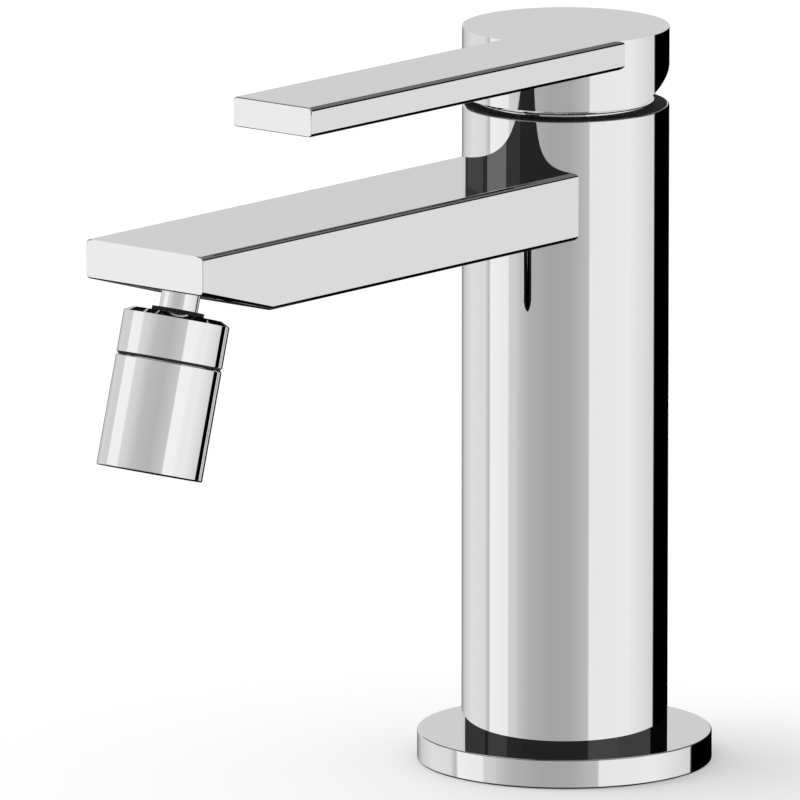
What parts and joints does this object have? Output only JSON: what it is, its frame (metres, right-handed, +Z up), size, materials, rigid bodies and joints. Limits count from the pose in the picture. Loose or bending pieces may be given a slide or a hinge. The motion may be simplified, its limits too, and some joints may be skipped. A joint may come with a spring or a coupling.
{
  "type": "bidet mixer",
  "caption": "Single-lever deck mixer for a bidet: round column, flat spout with a swivel aerator, flat side-set lever.",
  "frame": {"origin": "centre of the base flange's underside, where the mixer stands on the deck", "axes": "+Z up along the column, -Y the way the spout and the closed lever point, +X to the right of a user who faces the mixer"},
  "size_m": [0.0644, 0.1819, 0.1623],
  "materials": {
    "chrome_plate": "polished chrome plate on brass",
    "raw_brass": "machined brass",
    "steel": "machined stainless steel",
    "black_rubber": "matt rubber",
    "white_plastic": "moulded acetal",
    "grey_plastic": "moulded, fine grain",
    "ceramic": "lapped alumina ceramic"
  },
  "bodies": {
    "body": {"base_flange": "chrome_plate", "base_gasket": "black_rubber", "column_body": "chrome_plate", "inlet_block": "raw_brass", "hot_riser": "raw_brass", "cold_riser": "raw_brass", "valve_body": "raw_brass", "spout_waterway": "raw_brass", "spout_arm": "chrome_plate", "cartridge_base": "white_plastic", "port_seals": "black_rubber", "fixed_disc": "ceramic", "cartridge_housing": "grey_plastic", "cartridge_nut": "raw_brass", "cover_ring": "chrome_plate", "insert_gasket": "black_rubber", "spout_insert": "chrome_plate", "ball_stem": "chrome_plate"},
    "rotor": {"cartridge_rotor": "white_plastic", "pivot_pin": "steel"},
    "lever": {"lever_handle": "chrome_plate", "cartridge_stem": "steel", "lever_grub_screw": "steel", "lever_plug": "chrome_plate"},
    "mixing_disc": {"moving_disc": "ceramic", "disc_carrier": "white_plastic"},
    "swing_fore": {"inner_liner": "white_plastic"},
    "swing_side": {"outer_liner": "grey_plastic"},
    "swivel": {"swivel_collar": "chrome_plate", "aerator_barrel": "chrome_plate", "aerator_gasket": "black_rubber", "aerator_housing": "white_plastic", "aerator_screen": "steel"}
  },
  "joints": [
    {"name": "temperature", "type": "hinge", "parent": "body", "child": "rotor", "pos_m": [0, 0, 0.1373], "axis": [0, 0, 1], "range_deg": [-45, 45]},
    {"name": "flow", "type": "hinge", "parent": "rotor", "child": "lever", "pos_m": [0, 0, 0.1373], "axis": [-1, 0, 0], "range_deg": [0, 25]},
    {"name": "disc_slide", "type": "slide", "parent": "rotor", "child": "mixing_disc", "axis": [0, -1, 0], "range_m": [0, 0.0043]},
    {"name": "aerator_pitch", "type": "hinge", "parent": "body", "child": "swing_fore", "pos_m": [0, -0.1302, 0.11546], "axis": [1, 0, 0], "range_deg": [-8, 8]},
    {"name": "aerator_roll", "type": "hinge", "parent": "swing_fore", "child": "swing_side", "pos_m": [0, -0.1302, 0.11546], "axis": [0, 0.9618, -0.2736], "range_deg": [-8, 8]},
    {"name": "aerator_spin", "type": "hinge", "parent": "swing_side", "child": "swivel", "pos_m": [0, -0.1302, 0.11546], "axis": [0, -0.2736, -0.9618], "continuous": true}
  ],
  "couplings": [
    {"joint": "disc_slide", "follows": "flow", "m_per_rad": 0.00968}
  ]
}
